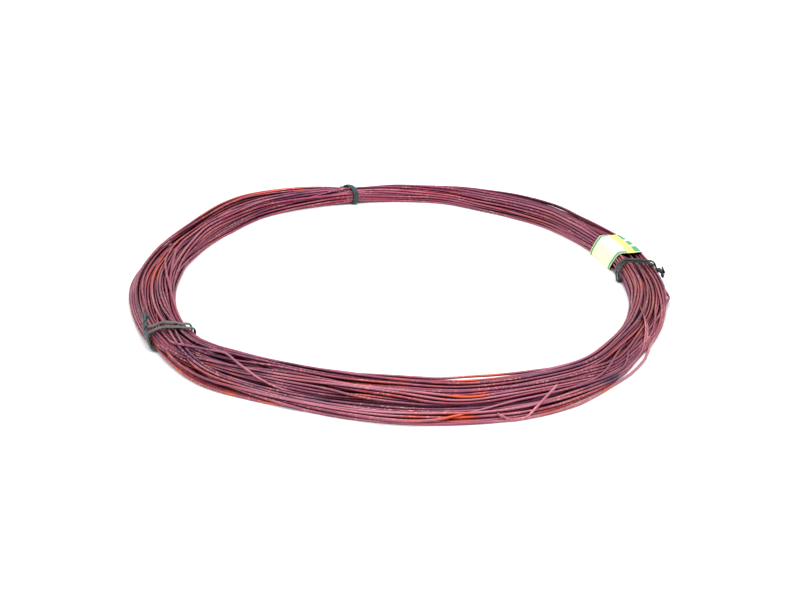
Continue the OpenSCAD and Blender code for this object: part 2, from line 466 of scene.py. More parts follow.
def lay_out_strips(mesh, count, sides, strips):
    """Writes a UV map in which the tube runs in strips, one above the other."""
    at = np.arange(count - 1) * strips / (count - 1)
    strip = np.floor(at + 0.5 * strips / (count - 1))
    along = np.stack([at - strip, at - strip + strips / (count - 1)], axis=1).clip(0, 1)
    around = np.stack([np.arange(sides), np.arange(sides) + 1], axis=1) / sides
    u = SIDE_ROOM + (1 - 2 * SIDE_ROOM) * along[:, None, [0, 0, 1, 1]].repeat(sides, axis=1)
    across = (1 - 2 * STRIP_ROOM) * around[None, :, [0, 1, 1, 0]]
    v = (strip[:, None, None] + STRIP_ROOM + across) / strips
    walls = np.stack([u, v], axis=3).reshape(-1, 2)
    # The tube's two ends are small ovals in the room at the side
    turn = 2 * np.pi * np.arange(sides) / sides
    cap = np.stack([0.005 + 0.003 * np.cos(turn), (0.5 + 0.3 * np.sin(turn)) / strips], axis=1)
    layer = mesh.uv_layers.new(name="OFBake")
    layer.uv.foreach_set("vector", np.concatenate([walls, cap, cap]).astype(np.float32).ravel())


# %% [markdown]
# ## Colours and nodes
# A finish in Blender is a tree of nodes. Colours are noted as a paint chart gives them,
# in sRGB, and Blender works with linear light, so one function turns them. Another
# adds a node to the tree of the material that was made last: its options come first,
# and each input takes a plain value or another node's output.

# %% Colours and nodes
def linear(hex_colour):
    """An sRGB colour as the linear numbers that Blender works with."""
    channels = [int(hex_colour[i : i + 2], 16) / 255 for i in (1, 3, 5)]
    return [c / 12.92 if c <= 0.04045 else ((c + 0.055) / 1.055) ** 2.4 for c in channels] + [1.0]


def add_node(kind, settings=(), **inputs):
    """Adds a node. Inputs are given by name, or by number after an underscore where names repeat."""
    node = tree.nodes.new(kind)
    for key, value in dict(settings).items():
        if key == "stops":
            ramp = node.color_ramp.elements
            for position, colour in value[2:]:
                ramp.new(position)
            for element, (position, colour) in zip(ramp, value):
                element.position, element.color = position, linear(colour)
        else:
            setattr(node, key, value)
    for key, value in inputs.items():
        socket = node.inputs[int(key[1:]) if key[0] == "_" else key.replace("_", " ")]
        if isinstance(value, bpy.types.NodeSocket):
            tree.links.new(value, socket)
        else:
            socket.default_value = value
    return node.outputs


def new_material(name):
    """A material, its tree of nodes, and the inputs of its surface."""
    material = bpy.data.materials.new(name)
    material.use_nodes = True
    return material, material.node_tree, material.node_tree.nodes["Principled BSDF"].inputs


print("Mid grey in linear light:", round(linear("#808080")[0], 3))

# %% [markdown]
# ## Annealed copper
# Copper wire is softened in an oven after drawing. Where air reaches it, the heat
# leaves a thin skin of oxide: mauve to plum for the most part, orange where it is
# thinnest, then crimson, and indigo to blue-grey where it is thickest. The oven
# colours whole areas of the wound coil, so a streak runs along several turns, and a
# turn changes colour as it enters and leaves one. Noise alone would give streaks
# anywhere. The strongest ones are placed one by one on the wire's corners, as three
# amounts of film, and noise breaks up their edges and tints the rest.

# %% Places on the coil, for the copper's patterns
# Middle of the bundle in mm, where a length round the coil is measured
COIL_RADIUS = 154.0
copper, tree, skin = new_material("oxidised_annealed_copper")
place = add_node("ShaderNodeTexCoord")["Object"]
flat = add_node("ShaderNodeVectorMath", {"operation": "MULTIPLY"}, _0=place, _1=(1, 1, 0))[0]
outward = add_node("ShaderNodeVectorMath", {"operation": "NORMALIZE"}, _0=flat)[0]
distance = add_node("ShaderNodeVectorMath", {"operation": "LENGTH"}, _0=flat)["Value"]
height = add_node("ShaderNodeSeparateXYZ", Vector=place)["Z"]
depth = add_node("ShaderNodeMath", {"operation": "ADD"}, _0=distance, _1=height)[0]


def streaks(length_mm, width_mm, detail, shift):
    """Noise whose spots are this long round the coil, and this wide across its turns."""
    long, wide = COIL_RADIUS / length_mm, 1 / (width_mm * MM)
    along = add_node("ShaderNodeVectorMath", {"operation": "SCALE"}, _0=outward, Scale=long)[0]
    across = add_node("ShaderNodeMath", {"operation": "MULTIPLY_ADD"}, _0=depth, _1=wide, _2=shift)[0]
    upright = add_node("ShaderNodeCombineXYZ", Z=across)[0]
    at = add_node("ShaderNodeVectorMath", {"operation": "ADD"}, _0=along, _1=upright)[0]
    return add_node("ShaderNodeTexNoise", Vector=at, Scale=1.0, Detail=detail)["Fac"]


# %% Colours of the oxide skin
# The skin is plum where the wire's tone is dark, and mauve to rose where it is light
PLUM_TO_ROSE = [(0, "#74465a"), (0.5, "#9e6074"), (1, "#b67c8a")]
tone = add_node("ShaderNodeAttribute", {"attribute_name": "wire_tone"})["Fac"]
film = add_node("ShaderNodeAttribute", {"attribute_name": "oxide_film"})["Vector"]
film = add_node("ShaderNodeSeparateXYZ", Vector=film)
colour = add_node("ShaderNodeValToRGB", {"stops": PLUM_TO_ROSE}, Fac=tone)[0]
# Axis that holds the amount of the film, shift of its noise, length and width in mm of
# its drifting tint, and its colours from thin to thick: orange, crimson and indigo
FILMS = [
    ("X", 0, (70, 6), [(0, "#a8504c"), (0.5, "#c2604c"), (1, "#e46434")]),
    ("Y", 17, (90, 7), [(0, "#96405a"), (1, "#a83c56")]),
    ("Z", 37, (60, 5), [(0, "#6a4462"), (1, "#453c52")]),
]
for axis, shift, (long, wide), stops in FILMS:
    # Specks of 16 by 2 mm break up the edges of the streaks that are placed one by one
    ragged = streaks(16, 2, 3, shift)
    ragged = add_node("ShaderNodeMapRange", _0=ragged, _1=0.35, _2=0.6, _3=0.1, _4=1.3)[0]
    drift = streaks(long, wide, 3, shift + 5)
    drift = add_node("ShaderNodeMapRange", _0=drift, _1=0.55, _2=0.75, _3=0, _4=0.7)[0]
    placed = add_node("ShaderNodeMath", {"operation": "MULTIPLY"}, _0=film[axis], _1=ragged)[0]
    amount = add_node("ShaderNodeMath", {"operation": "MAXIMUM"}, _0=placed, _1=drift)[0]
    hue = add_node("ShaderNodeMath", {"operation": "MULTIPLY"}, _0=amount, _1=0.5)[0]
    hue = add_node("ShaderNodeValToRGB", {"stops": stops}, Fac=hue)[0]
    colour = add_node("ShaderNodeMix", {"data_type": "RGBA"}, Factor=amount, _6=colour, _7=hue)[2]
print("Three films over the bare tone:", len(tree.nodes), "nodes so far")

# %% [markdown]
# Handling rubs the skin thin in small specks, about a millimetre across, which show
# salmon-pink bare copper. They come in patches, and shine a bit more than the skin.

# %% Rubbed specks
# Size of a speck in mm, and the roughness of the skin and of bare copper
SPECK = 1.2
SKIN_ROUGHNESS = 0.48
RUBBED_ROUGHNESS = 0.34
grain = add_node("ShaderNodeTexNoise", Vector=place, Scale=1 / (SPECK * MM), Detail=1.0)["Fac"]
patch = add_node("ShaderNodeMapRange", _0=streaks(25, 6, 1, 61), _1=0.45, _2=0.6, _3=0.1, _4=1)[0]
specks = add_node("ShaderNodeMapRange", _0=grain, _1=0.54, _2=0.66, _3=0, _4=0.75)[0]
specks = add_node("ShaderNodeMath", {"operation": "MULTIPLY"}, _0=specks, _1=patch)[0]
bare = linear("#d08c86")
colour = add_node("ShaderNodeMix", {"data_type": "RGBA"}, Factor=specks, _6=colour, _7=bare)[2]
polish = add_node("ShaderNodeMapRange", _0=specks, _1=0, _2=1, _3=SKIN_ROUGHNESS, _4=RUBBED_ROUGHNESS)[0]
tree.links.new(polish, skin["Roughness"])
print("Specks of", SPECK, "mm, roughness", SKIN_ROUGHNESS, "down to", RUBBED_ROUGHNESS)

# %% [markdown]
# Where turns lie against each other, the copper is painted darker: painted shade
# between the turns, over the shade that the light itself gives. So each corner of
# the wire also knows how open it lies, and the closed places take a dark maroon.

# %% Painted shade between the turns
openness = add_node("ShaderNodeAttribute", {"attribute_name": "openness"})["Fac"]
painted_shade = add_node("ShaderNodeMath", {"operation": "SUBTRACT"}, _0=1.0, _1=openness)[0]
painted_shade = add_node("ShaderNodeMath", {"operation": "POWER"}, _0=painted_shade, _1=2.0)[0]
# The closed places are multiplied by this maroon: painted shade between the turns
painted_shade_maroon = linear("#8a4a5a")
darken = {"data_type": "RGBA", "blend_type": "MULTIPLY"}
colour = add_node("ShaderNodeMix", darken, Factor=painted_shade, _6=colour, _7=painted_shade_maroon)[2]
tree.links.new(colour, skin["Base Color"])
skin["Metallic"].default_value = 1.0
print("Copper material has", len(tree.nodes), "nodes")

# %% [markdown]
# ## The two cut ends
# Both ends of the wire stick out of the bundle at the front. The first one is a short
# bent stub, and the last one springs up across the turns, straight, as a stiff wire
# does after the cutter's pull. They are added to the path as a few corners each, with
# the corners rounded by the same stiffness that laid the turns.

# %% The path with its ends
COPPER_DENSITY = 8.96e-6  # kg in a cubic mm
# Angle, radius and height of the ends' corners
FIRST_END = [(-72.6, 169.7, 4.2), (-71, 172.2, 2)]
LAST_END = [(-68.2, 173.6, 0.9), (-67.3, 174, 1.4), (-59.5, 165.6, 10.6)]


def polar(rows):
    """Points from rows of angle, radius and height."""
    angle, radius, height = np.asarray(rows, float).T
    turn = np.radians(angle)
    return np.stack([radius * np.cos(turn), radius * np.sin(turn), height], axis=1)


def distance_along(points):
    """How far along a line each of its points lies, from the first one."""
    return np.concatenate([[0], np.cumsum(np.linalg.norm(np.diff(points, axis=0), axis=1))])


def evened_out(every, at, values, stiffness):
    """Values known at some distances along a line, taken at new ones, with the bends evened out."""
    return np.stack([straightened(np.interp(every, at, v), stiffness) for v in values.T], axis=1)


def rounded(corners, step, stiffness):
    """Evenly spaced points along straight lines between corners, with the bends evened out."""
    at = distance_along(corners)
    return evened_out(np.linspace(0, at[-1], int(at[-1] / step) + 2), at, corners, stiffness)


# Distance in mm between an end's points, and how stiff the stub and the long end are
END_STEP = 1.2
STUB_STIFFNESS = 1.0
LONG_STIFFNESS = 0.3
turns_path = polar(np.stack([np.tile(angles, TURNS), ring_x.reshape(-1), ring_z.reshape(-1)], axis=1))
first_end = rounded(np.concatenate([polar(FIRST_END), turns_path[:3]]), END_STEP, STUB_STIFFNESS)[:-1]
last_end = rounded(np.concatenate([turns_path[-2:], polar(LAST_END)]), END_STEP, LONG_STIFFNESS)[1:]
path = np.concatenate([first_end, turns_path[2:-2], last_end])
length = distance_along(path)[-1]
mass = length * math.pi * (WIRE / 2) ** 2 * COPPER_DENSITY
print("Wire", round(length * MM, 1), "m long,", round(mass, 2), "kg")

# %% Where the oven left strong colours
# Film (0 orange, 1 crimson, 2 indigo), strength, width in mm, then angle, radius and
# height along the streak
STREAKS = [
    (0, 1.4, 6, [(112, 172, 7.5), (120, 178, 8), (128, 179, 8), (136, 175, 9), (144, 168, 10)]),
    (0, 1.3, 6, [(147, 159, 9), (159, 155, 10), (169, 155, 10), (182, 154, 9.5)]),
    (0, 0.8, 3, [(134, 154, 8), (145, 149, 8), (155, 144, 8.5)]),
    (0, 0.8, 3, [(57, 147, 4), (66, 150, 6.5), (75, 152, 7), (83, 153, 6.5)]),
    (0, 0.8, 4, [(34, 146, 9), (46, 146, 9.2)]),
    (0, 0.8, 4, [(26, 149, 9.5), (36, 149, 9.5)]),
    (0, 0.6, 3, [(77, 158, 9), (86, 157, 9)]),
    (0, 0.9, 9, [(-14, 152, 9), (4, 148, 9), (14, 150, 9)]),
    (0, 0.35, 16, [(-24, 154, 7), (14, 154, 7)]),
    (0, 0.35, 16, [(150, 156, 7), (205, 154, 7)]),
    (0, 0.8, 6, [(-40, 157, 9), (-24, 157, 9.5), (-12, 154, 9)]),
    (0, 1.4, 3.5, [(-150, 160, 5), (-137, 159, 4.5), (-126, 159, 5)]),
    (0, 1.3, 3, [(-146, 164, 2.5), (-134, 164, 1.5), (-124, 162, 1.5)]),
    (0, 0.9, 2, [(-136, 154, 7.5), (-122, 152, 7), (-108, 149, 6)]),
    (0, 1.2, 2, [(-120, 160, 0.8), (-116, 160, 0.8)]),
    (0, 0.9, 5, [(-112, 139, 7), (-103, 136, 7), (-90, 135, 7.5), (-77, 138, 8), (-66, 142, 8)]),
    (0, 2.0, 3.5, [(-77, 137, 7), (-67, 140, 8)]),
    (0, 2.0, 3, [(-87, 164, 2.5), (-78, 166, 2.5)]),
    (0, 1.6, 2.5, [(-79, 151, 7), (-73, 153, 7)]),
    (0, 1.1, 2.5, [(-97, 147, 6.5), (-90, 147, 6.5)]),
    (0, 1.1, 2.5, [(-111, 152, 6), (-97, 147, 5)]),
    (0, 0.9, 3, [(-62, 173, 1), (-50, 172, 1)]),
    (1, 1.1, 5, [(104, 152, 5.5), (113, 152, 7), (121, 154, 8), (129, 155, 9), (143, 150, 11.5)]),
    (1, 0.7, 4, [(48, 148, 8.5), (60, 150, 8.5)]),
    (1, 0.9, 5, [(-55, 165, 11), (-46, 164, 10)]),
    (1, 0.8, 18, [(60, 160, 6), (90, 160, 5), (120, 165, 6), (160, 158, 6)]),
    (1, 0.4, 12, [(22, 152, 7), (60, 158, 7)]),
    (1, 0.4, 16, [(150, 156, 7), (210, 154, 7)]),
    (2, 0.8, 4, [(116, 157, 10.3), (124, 160, 10.5), (132, 161, 11), (140, 157, 11.5), (147, 153, 12)]),
    (2, 0.8, 3, [(129, 154, 2), (138, 151, 6)]),
    (2, 0.9, 3, [(26, 145, 8.5), (43, 144, 7.5)]),
    (2, 0.8, 3, [(54, 147, 2), (68, 148, 1)]),
    (2, 0.7, 5, [(49, 154, 9.5), (60, 165, 8)]),
    (2, 0.95, 3.5, [(-140, 156, 8), (-124, 155, 6.5), (-111, 153, 5), (-103, 151, 3.5)]),
    (2, 0.7, 5, [(-142, 149, 9), (-122, 146, 9)]),
    (2, 0.6, 4, [(-70, 152, 8), (-60, 146, 8)]),
    (2, 1.0, 3, [(-56, 168, 7), (-46, 168.5, 3)]),
]
# A streak fades out past its ends over this many degrees, and is this much wider than high
STREAK_FADE = 3
STREAK_FLATNESS = 1.5


def films_at(corners):
    """Amount of each film at corners of the wire."""
    angle = np.degrees(np.arctan2(corners[:, 1], corners[:, 0]))
    radius = np.hypot(corners[:, 0], corners[:, 1])
    amounts = np.zeros((len(corners), 3))
    for film, strength, width, line in STREAKS:
        at, away, up = np.array(line).T
        along = degrees_from(at.mean(), angle) + at.mean()
        over = STREAK_FLATNESS * (corners[:, 2] - np.interp(along, at, up))
        off = np.hypot(radius - np.interp(along, at, away), over)
        past = np.maximum(np.maximum(at[0] - along, along - at[-1]), 0) / STREAK_FADE
        amount = strength * np.exp(-((off / width) ** 2) - past**2)
        amounts[:, film] = np.maximum(amounts[:, film], amount)
    return amounts


print(len(STREAKS), "streaks placed by hand")

# %% How open each corner of the wire lies
# Sides of the wire's section, and directions in which each turn looks for others, up
# to some distance in mm. What is nearer than the first one is the turn itself.
SIDES = 10
RAYS = 24
NEAREST = 0.3
FARTHEST = 12


# The copper's material darkens the closed corners with this: painted shade between the turns
def openness_of_turns():
    """From 0, shut in by other turns, to 1: the share of open directions in front of each corner."""
    ray = 2 * np.pi * np.arange(RAYS) / RAYS
    out, up = np.sin(ray), np.cos(ray)
    clear = np.ones((TURNS, STATIONS, RAYS), np.float32)
    for k in range(STATIONS):
        dx = (ring_x[None, :, k] - ring_x[:, None, k])[:, :, None]
        dz = (ring_z[None, :, k] - ring_z[:, None, k])[:, :, None]
        ahead = dx * out + dz * up
        hit = (np.abs(dx * up - dz * out) < WIRE / 2) & (ahead > NEAREST) & (ahead < FARTHEST)
        clear[:, k] = ~hit.any(axis=1)
    corner = 2 * np.pi * np.arange(SIDES) / SIDES
    facing = np.maximum(np.cos(corner[:, None] - ray), 0)
    return (clear.reshape(-1, RAYS) @ facing.T) / facing.sum(axis=1)


open_ends = [np.ones((len(end), SIDES)) for end in (first_end, last_end)]
openness = np.concatenate([open_ends[0], openness_of_turns()[2:-2], open_ends[1]])
print("Openness is", round(float(openness.mean()), 2), "on average")

# %% Tones and tints along the wire
tones = 0.5 + 0.45 * evened(
    0.9 * wander(len(path), STATIONS * 0.5, 11) + 0.6 * wander(len(path), STATIONS * 0.05, 12)
)
# Long stretches of every turn are a little redder or bluer than their neighbours: the
# most that they take of the orange, crimson and indigo films
STRETCH_TINTS = (0.15, 0.5, 0.4)
stretches = np.stack([
    share * np.clip(wander(len(path), STATIONS * 0.25, 20 + k), 0, 1.5)
    for k, share in enumerate(STRETCH_TINTS)
], axis=1)
print("Tone runs from", round(float(tones.min()), 2), "to", round(float(tones.max()), 2))

# %% The wire in three pieces
# One piece would be too heavy a mesh. Each takes this many strips of the UV map.
PARTS = 3
WIRE_STRIPS = 44
upward = np.tile([0.0, 0.0, 1.0], (len(path), 1))
rings = tube_rings(path, upward, round_section(WIRE / 2, SIDES))


def add_values(piece, name, kind, values):
    """Stores a value, or three, at each corner of the piece, for its material to read."""
    layer = piece.data.attributes.new(name, kind, "POINT")
    field = "vector" if kind == "FLOAT_VECTOR" else "value"
    layer.data.foreach_set(field, values.astype(np.float32).ravel())


for k in range(PARTS):
    first, last = ((len(path) - 1) * end // PARTS for end in (k, k + 1))
    part = slice(first, last + 1)
    piece = add_tube(f"wire_turns_{k + 1}", rings[part], copper, WIRE_STRIPS)
    add_values(piece, "wire_tone", "FLOAT", np.repeat(tones[part], SIDES))
    add_values(piece, "openness", "FLOAT", openness[part])
    films = films_at(rings[part].reshape(-1, 3))
    films = np.maximum(films, np.repeat(stretches[part], SIDES, axis=0))
    add_values(piece, "oxide_film", "FLOAT_VECTOR", films)
    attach(piece, "root")
    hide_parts("wire_coil")
    print(piece.name, 2 * SIDES * (last - first), "triangles")

# %% [markdown]
# ## A band round the bundle
# Both the ties and the label are pulled tight round the bundle, so their shape is that
# of a rubber band: the convex hull of the turns where the bundle is cut. One function
# gives that outline at any angle, at any distance from the turns.

# %% Outline of the bundle
def turns_at(angle):
    """Distance from the middle and height of every turn, where the coil is cut."""
    index = np.arange(TURNS) * STATIONS + (angle - START) % 360 * STATIONS / 360
    whole = np.arange(TURNS * STATIONS)
    return [np.interp(index, whole, ring.reshape(-1)) for ring in (ring_x, ring_z)]


def band_outline(angle, lift, around):
    """Radius and height of the band at directions around the bundle: 0 is outward, 90 up."""
    radius, height = turns_at(angle)
    turn = np.linspace(0, 2 * np.pi, 24, endpoint=False)
    spread = WIRE / 2 + lift
    away = (radius[:, None] + spread * np.cos(turn)).ravel()
    up = (height[:, None] + spread * np.sin(turn)).ravel()
    corners = np.stack([away, up], axis=1)
    hull = corners[convex_hull_2d(corners.tolist())]
    centre = (hull.min(axis=0) + hull.max(axis=0)) / 2
    edge = np.roll(hull, -1, axis=0) - hull
    normal = np.stack([edge[:, 1], -edge[:, 0]], axis=1)
    offset = (normal * (hull - centre)).sum(axis=1)
    way = np.stack([np.cos(np.radians(around)), np.sin(np.radians(around))])
    along = (normal * np.sign(offset)[:, None]) @ way
    reach = np.where(along > 1e-6, np.abs(offset)[:, None] / np.maximum(along, 1e-6), 1e6).min(axis=0)
    return centre[:, None] + reach * way


def band_points(angle, lift, around, lowest):
    """Points along a band. Each has its own angle round the coil, stand-off and direction."""
    cut = np.array([band_outline(a, up, np.array([t]))[:, 0] for a, up, t in zip(angle, lift, around)])
    return polar(np.stack([angle, cut[:, 0], np.maximum(cut[:, 1], lowest)], axis=1))


print("Bundle is", round(float(np.ptp(turns_at(90)[0]) + WIRE), 1), "mm wide at the back")

# %% [markdown]
# ## The ties
# Each tie is a plastic-coated twist tie: a thin steel wire in a flat green ribbon. It
# goes twice round the bundle and its ends are twisted together. Such a tie could be a
# ring round the bundle, but it is its slant, its slack loops and its twisted tail that
# make it look tied by hand. So each one is guided: the direction round the bundle,
# the angle round the coil, and how far it stands off from the turns.

# %% Ribbon and its path
# A quarter of the ribbon's section in mm, outward and sideways: thin at the edge, and
# thick at the middle, over the steel wire
QUARTER = [(0.55, 0), (0.5, 0.25), (0.36, 0.45), (0.32, 1.1), (0.22, 1.32)]
RIBBON_EDGE = 1.4
RIBBON = (
    QUARTER + [(0, RIBBON_EDGE)] + [(-a, b) for a, b in QUARTER[:0:-1]]
    + [(-a, -b) for a, b in QUARTER] + [(0, -RIBBON_EDGE)] + [(a, -b) for a, b in QUARTER[:0:-1]]
)
# Its middle stands off from the turns and the floor by this, and has a point this often
RIBBON_LIFT = 0.65
RIBBON_STEP = 0.5
# How stiff it is against bending and against turning over
RIBBON_STIFFNESS = 2.0
TURNING_STIFFNESS = 4.0
RIBBON_STRIPS = 6
# Radius at which the two strands of a tail turn round each other
TWIST_RADIUS = 0.9


def wrapped(way_round):
    """Points along a ribbon that goes round the bundle, and the direction that it faces."""
    knots = np.array(way_round, float)
    around = np.arange(knots[0, 0], knots[-1, 0], 2.0)
    angle, lift = (np.interp(around, knots[:, 0], knots[:, k]) for k in (1, 2))
    points = band_points(angle, RIBBON_LIFT + lift, around, RIBBON_LIFT)
    along_coil = polar(np.stack([angle + 90, np.ones(len(angle)), np.zeros(len(angle))], axis=1))
    return points, np.cross(along_coil, unit(np.gradient(points, axis=0)))


def twisted(foot, top, tip, pitch, side, on_edge):
    """One strand of a twisted tail, from its foot on the bundle to its free tip."""
    foot, top, tip = polar([foot, top, tip])
    axis = top - foot
    rise = np.arange(0, np.linalg.norm(axis), RIBBON_STEP)
    axis = axis / np.linalg.norm(axis)
    across = np.cross(axis, (0.3, 0.5, 0.8))
    across /= np.linalg.norm(across)
    turn = 2 * np.pi * rise / pitch + (0 if side > 0 else np.pi)
    arm = np.cos(turn)[:, None] * across + np.sin(turn)[:, None] * np.cross(axis, across)
    strand = foot + rise[:, None] * axis + TWIST_RADIUS * arm
    facing = np.tile([1.0, 0.0, 0.0], (len(rise) + 1, 1))
    if not on_edge:
        facing[:-1] = arm
    return np.concatenate([strand, [tip]]), facing


def add_tie(node, way_round, foot, top, tips, pitch, on_edge, settled, soot):
    """A tie: out along one strand of its tail, twice round the bundle, and back."""
    out, out_facing = twisted(foot, top, tips[0], pitch, 1, on_edge)
    back, back_facing = twisted(foot, top, tips[1], pitch, -1, False)
    loops, loops_facing = wrapped(way_round)
    corners = np.concatenate([out[::-1], loops, back])
    faces_way = np.concatenate([out_facing[::-1], loops_facing, back_facing])
    at = distance_along(corners)
    every = np.linspace(0, at[-1], int(at[-1] / RIBBON_STEP))
    line = evened_out(every, at, corners, RIBBON_STIFFNESS)
    facing = evened_out(every, at, faces_way, TURNING_STIFFNESS)
    piece = add_tube(node + "_ribbon", tube_rings(line, facing, RIBBON), coating, RIBBON_STRIPS)
    count = len(line) * len(RIBBON)
    # The colour that its top takes, settled dust and a painted reflection, and how much its green is
    # darkened
    add_values(piece, "settled_dust", "FLOAT_VECTOR", np.tile(linear(settled)[:3], (count, 1)))
    add_values(piece, "soot", "FLOAT", np.full(count, soot))
    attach(piece, "root")
    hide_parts(node)
    print(piece.name, round(at[-1]), "mm long, from", round(float(line[:, 2].min()), 2), "mm up")


# %% [markdown]
# The coating is soft PVC, dark green and slightly glossy, so it shows light streaks
# along its bends. What faces up takes a colour of each tie's own, settled dust and a
# painted reflection: pale on the left tie, greenish at the back and nearly black at the
# right. The green of the last two is also darker. A fine grain keeps the dust from
# looking like a film of paint.

# %% Tie material
# Sizes in mm of the dust's grains and of the clouds in which they lie. Real dust is
# finer, and is drawn as coarse as it needs to show.
GRAIN = 0.5
CLOUD = 6
coating, tree, skin = new_material("soft_pvc_coated_tie")
place = add_node("ShaderNodeTexCoord")["Object"]
grain = add_node("ShaderNodeTexNoise", Vector=place, Scale=1 / (GRAIN * MM), Detail=2.0)["Fac"]
cloud = add_node("ShaderNodeTexNoise", Vector=place, Scale=1 / (CLOUD * MM), Detail=3.0)["Fac"]
facing_up = add_node("ShaderNodeSeparateXYZ", Vector=add_node("ShaderNodeNewGeometry")["Normal"])["Z"]
amount = add_node("ShaderNodeMapRange", _0=facing_up, _1=0.6, _2=0.95, _3=0, _4=0.95)[0]
patchy = add_node("ShaderNodeMapRange", _0=cloud, _1=0.3, _2=0.55, _3=0.5, _4=1)[0]
grainy = add_node("ShaderNodeMapRange", _0=grain, _1=0.35, _2=0.6, _3=0.7, _4=1)[0]
for part in (patchy, grainy):
    amount = add_node("ShaderNodeMath", {"operation": "MULTIPLY"}, _0=amount, _1=part)[0]
green = add_node("ShaderNodeValToRGB", {"stops": [(0.3, "#0b2f30"), (0.7, "#155052")]}, Fac=cloud)[0]
# The green is darkened on the back tie, and more on the right one
soot = add_node("ShaderNodeAttribute", {"attribute_name": "soot"})["Fac"]
green = add_node("ShaderNodeMix", {"data_type": "RGBA"}, Factor=soot, _6=green, _7=linear("#191618"))[2]
# What faces up takes each tie's own colour: settled dust and a painted reflection, pale on the left tie
# and near black on the right
dust_and_reflection = add_node("ShaderNodeAttribute", {"attribute_name": "settled_dust"})["Color"]
with_dust_and_reflection = add_node("ShaderNodeMix", {"data_type": "RGBA"}, Factor=amount, _6=green, _7=dust_and_reflection)[2]
tree.links.new(with_dust_and_reflection, skin["Base Color"])
dull = add_node("ShaderNodeMapRange", _0=amount, _1=0, _2=1, _3=0.3, _4=0.8)[0]
tree.links.new(dull, skin["Roughness"])
bumpy = add_node("ShaderNodeBump", Height=grain, Strength=0.3, Distance=0.05 * MM)[0]
tree.links.new(bumpy, skin["Normal"])
print("Tie material has", len(tree.nodes), "nodes")

# %% The three ties
# Rows of the direction round the bundle, the angle round the coil and the stand-off in
# mm. Then, as angle, radius and height: the tail's foot and top, and its two free tips.
# The colour given for each tie's top is settled dust and a painted reflection
add_tie("tie_left", [
    (14, -154, 0.6), (24, -153.3, 0.2), (40, -153.5, 0), (58, -153.3, 0), (84, -152.9, 0),
    (115, -151.3, 0), (141, -150.2, 0.1), (158, -149.9, 1.3), (175, -150.4, 1.8),
    (193, -151.2, 0.8), (215, -151, 0), (250, -149.5, 0), (290, -148.3, 0), (325, -148.2, 0.2),
    (342, -149.4, 0.7), (353, -150.7, 1.1), (365, -151.6, 1), (378, -151.3, 0.6), (410, -151.2, 0),
    (435, -150.6, 0), (460, -149.7, 0), (493, -148.2, 0), (510, -147.8, 0.6), (525, -147.6, 1.3),
    (540, -148.2, 1.4), (555, -149.2, 0.6), (575, -149, 0), (610, -147.5, 0), (650, -146.6, 0),
    (685, -147.4, 0), (700, -149.6, 0.1), (711, -151.4, 0.3), (720, -152.8, 0.8), (728, -154, 1),
], foot=(-153.8, 162.6, 9.9), top=(-155.8, 161, 14), tips=[(-157.4, 160.6, 16.6), (-154.4, 159.2, 14.6)],
    pitch=4.5, on_edge=True, settled="#6c5c54", soot=0)
add_tie("tie_back", [
    (35, 103.4, 0.4), (65, 103.2, 0), (120, 102.8, 0), (142, 102.2, 0), (160, 101.8, 0),
    (183, 101.6, 0), (200, 101.7, 0), (220, 102.1, 0), (270, 102.2, 0), (320, 102.6, 0),
    (360, 103, 0), (400, 103.6, 0.9), (430, 103.6, 1), (480, 103.2, 1), (502, 102.6, 1),
    (520, 102.1, 1), (543, 101.9, 1), (560, 102.1, 1), (580, 102.8, 0.6), (600, 103.4, 0),
    (630, 103.6, 0), (680, 103.7, 0), (715, 103.7, 0), (735, 103.6, 0.6),
], foot=(103.6, 167, 7.2), top=(104.2, 165.6, 7.9), tips=[(105.2, 163.8, 8.8), (104.9, 166.5, 7.6)],
    pitch=6, on_edge=False, settled="#3c4c46", soot=0.25)
add_tie("tie_right", [
    (12, 4.2, 0.5), (19, 4.9, 0.1), (28, 6.3, 0), (58, 6.9, 0), (105, 7, 0), (150, 7, 0),
    (162, 6.2, 0.3), (174, 5.6, 0.3), (182, 5.1, 0.5), (190, 4.7, 0.5), (205, 4.4, 0),
    (235, 4.2, 0), (270, 4.2, 0), (305, 4.2, 0), (335, 4.6, 0), (352, 4.6, 0), (370, 5.3, 0.5),
    (379, 5.8, 1), (388, 6.7, 1), (418, 7.3, 1), (465, 7.4, 1), (510, 7.5, 1), (522, 7.0, 1.6),
    (534, 6.4, 1.9), (542, 5.6, 2), (550, 4.9, 1.8), (565, 4.6, 1.4), (595, 4.4, 1.2), (630, 5, 1),
    (665, 5.7, 0.6), (695, 5.9, 0), (712, 5.5, 0.8), (725, 4.8, 1.2),
], foot=(4.2, 164.9, 8.4), top=(2.8, 167.2, 8), tips=[(3.8, 166.8, 10.6), (1.7, 166.6, 6.6)],
    pitch=6, on_edge=False, settled="#231f1d", soot=0.6)

# %% [markdown]
# ## The label
# The label is a strip of coated paper, wrapped round the bundle and glued to itself on
# the outer side. It is made as a thin closed sheet on the same outline as the ties, with
# an overlap, and with some slack below the bore side, where paper can't pull round. Its
# print is a plain design of our own: green lines along both ends, a yellow band and
# green bars. Each corner of the sheet knows its place on the print in millimetres.

# %% Label shape
# Width along the coil, angle of its middle, thickness of the paper, how far it stands
# off from the turns, and the rows of corners across it
LABEL_WIDTH = 29.0
LABEL_MIDDLE = 17.8
PAPER = 0.2
LABEL_LIFT = 0.2
LABEL_ROWS = 25
